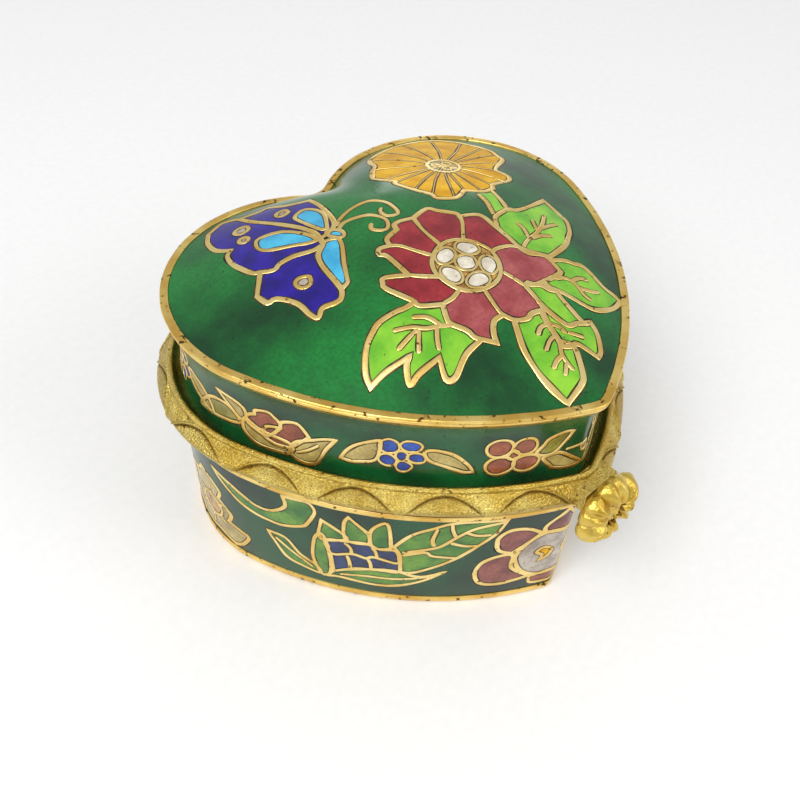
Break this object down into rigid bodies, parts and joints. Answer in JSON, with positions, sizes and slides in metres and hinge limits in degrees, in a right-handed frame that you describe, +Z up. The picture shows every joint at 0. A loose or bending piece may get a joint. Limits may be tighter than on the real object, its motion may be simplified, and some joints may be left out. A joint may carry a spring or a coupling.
{
  "type": "trinket box",
  "caption": "Heart-shaped enamelled metal trinket box with a domed hinged lid, a cast gold collar and a flower drop clasp",
  "frame": {"origin": "under the middle of the whole object, on the surface that the foot rim stands on", "axes": "+Z up out of the base, the tip of the heart and the clasp point to -Y, the hinge is on +Y"},
  "size_m": [0.0554, 0.056, 0.0379],
  "materials": {
    "green_enamel": "deep green translucent enamel, polished",
    "lining_enamel": "plain blue counter-enamel, glossy",
    "wire_gold": "pale gold plate, worn and pitted",
    "cast_gold": "antique gold plate on a sandy casting",
    "copper": "copper sheet, hidden under enamel"
  },
  "bodies": {
    "base": {"base_shell": "copper", "base_side_enamel": "green_enamel", "base_top_band": "wire_gold", "base_foot_rim": "wire_gold", "base_floor_enamel": "green_enamel", "base_lining": "lining_enamel", "base_bezel": "cast_gold", "catch_stud": "cast_gold", "base_hinge_leaf": "cast_gold", "hinge_pin": "cast_gold"},
    "lid": {"lid_dome_plate": "copper", "lid_dome_enamel": "green_enamel", "lid_edge_band": "wire_gold", "lid_side_ring": "copper", "lid_side_rim": "wire_gold", "lid_side_enamel": "green_enamel", "lid_lining": "lining_enamel", "lid_collar": "cast_gold", "lid_clasp_lug": "cast_gold", "lid_hinge_leaf": "cast_gold", "clasp_pin": "cast_gold"},
    "clasp": {"clasp_tongue": "cast_gold", "clasp_flower": "cast_gold", "clasp_flower_centre": "cast_gold"}
  },
  "joints": [
    {"name": "lid_hinge", "type": "hinge", "parent": "base", "child": "lid", "pos_m": [0, 0.02668, 0.01932], "axis": [-1, 0, 0], "range_deg": [0, 100]},
    {"name": "clasp_hinge", "type": "hinge", "parent": "lid", "child": "clasp", "pos_m": [0, -0.02417, 0.0206], "axis": [-1, 0, 0], "range_deg": [-8, 12]}
  ]
}
